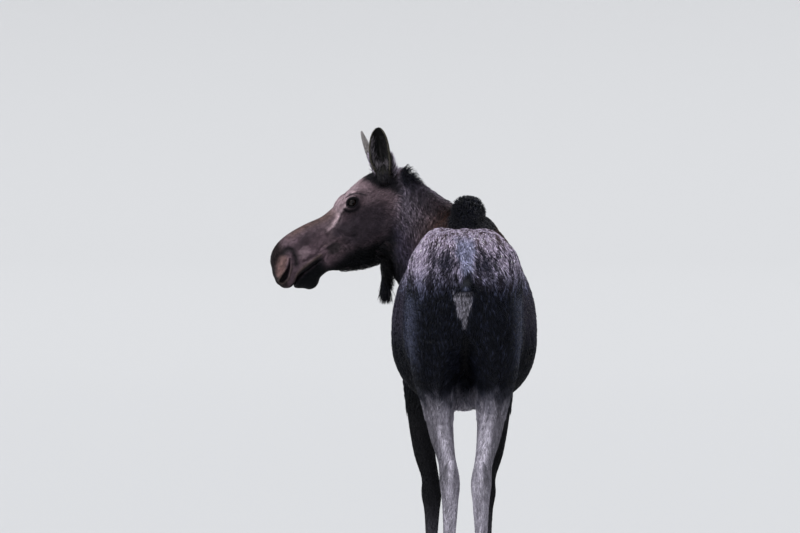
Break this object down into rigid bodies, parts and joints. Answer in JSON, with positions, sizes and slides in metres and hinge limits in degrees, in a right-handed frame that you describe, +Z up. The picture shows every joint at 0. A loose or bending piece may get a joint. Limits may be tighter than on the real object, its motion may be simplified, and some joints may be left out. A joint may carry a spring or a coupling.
{
  "type": "moose",
  "caption": "Life-size adult cow moose standing square on four legs, body facing forward and neck turned to the left, with a hair bell under the throat.",
  "frame": {"origin": "on the floor, under the middle of the whole animal's box", "axes": "+Z up; +Y the way the body faces; +X the animal's right side; the head is turned towards -X"},
  "size_m": [1.0752, 1.8752, 2.0465],
  "materials": {
    "coat": "short dense black-brown coat with a cool grey sheen over the croup",
    "face_coat": "very short grey-brown face coat, darker round the eye and mouth",
    "ear_coat": "soft grey-brown hair, paler inside the cup",
    "leg_coat": "short grey-brown leg coat",
    "long_hair": "coarse long black hair",
    "horn": "smooth dark hoof horn",
    "eye": "wet dark brown eye"
  },
  "bodies": {
    "root": {"bell": "long_hair", "dewclaw_fore_left_inner": "horn", "dewclaw_fore_left_outer": "horn", "dewclaw_fore_right_inner": "horn", "dewclaw_fore_right_outer": "horn", "dewclaw_hind_left_inner": "horn", "dewclaw_hind_left_outer": "horn", "dewclaw_hind_right_inner": "horn", "dewclaw_hind_right_outer": "horn", "ear_left": "ear_coat", "ear_right": "ear_coat", "eye_left": "eye", "eye_right": "eye", "fore_lower_leg_left": "leg_coat", "fore_lower_leg_right": "leg_coat", "fore_upper_leg_left": "coat", "fore_upper_leg_right": "coat", "head": "face_coat", "hind_lower_leg_left": "leg_coat", "hind_lower_leg_right": "leg_coat", "hind_upper_leg_left": "coat", "hind_upper_leg_right": "coat", "hoof_fore_left_inner": "horn", "hoof_fore_left_outer": "horn", "hoof_fore_right_inner": "horn", "hoof_fore_right_outer": "horn", "hoof_hind_left_inner": "horn", "hoof_hind_left_outer": "horn", "hoof_hind_right_inner": "horn", "hoof_hind_right_outer": "horn", "neck": "coat", "tail": "long_hair", "torso": "coat"}
  },
  "joints": []
}
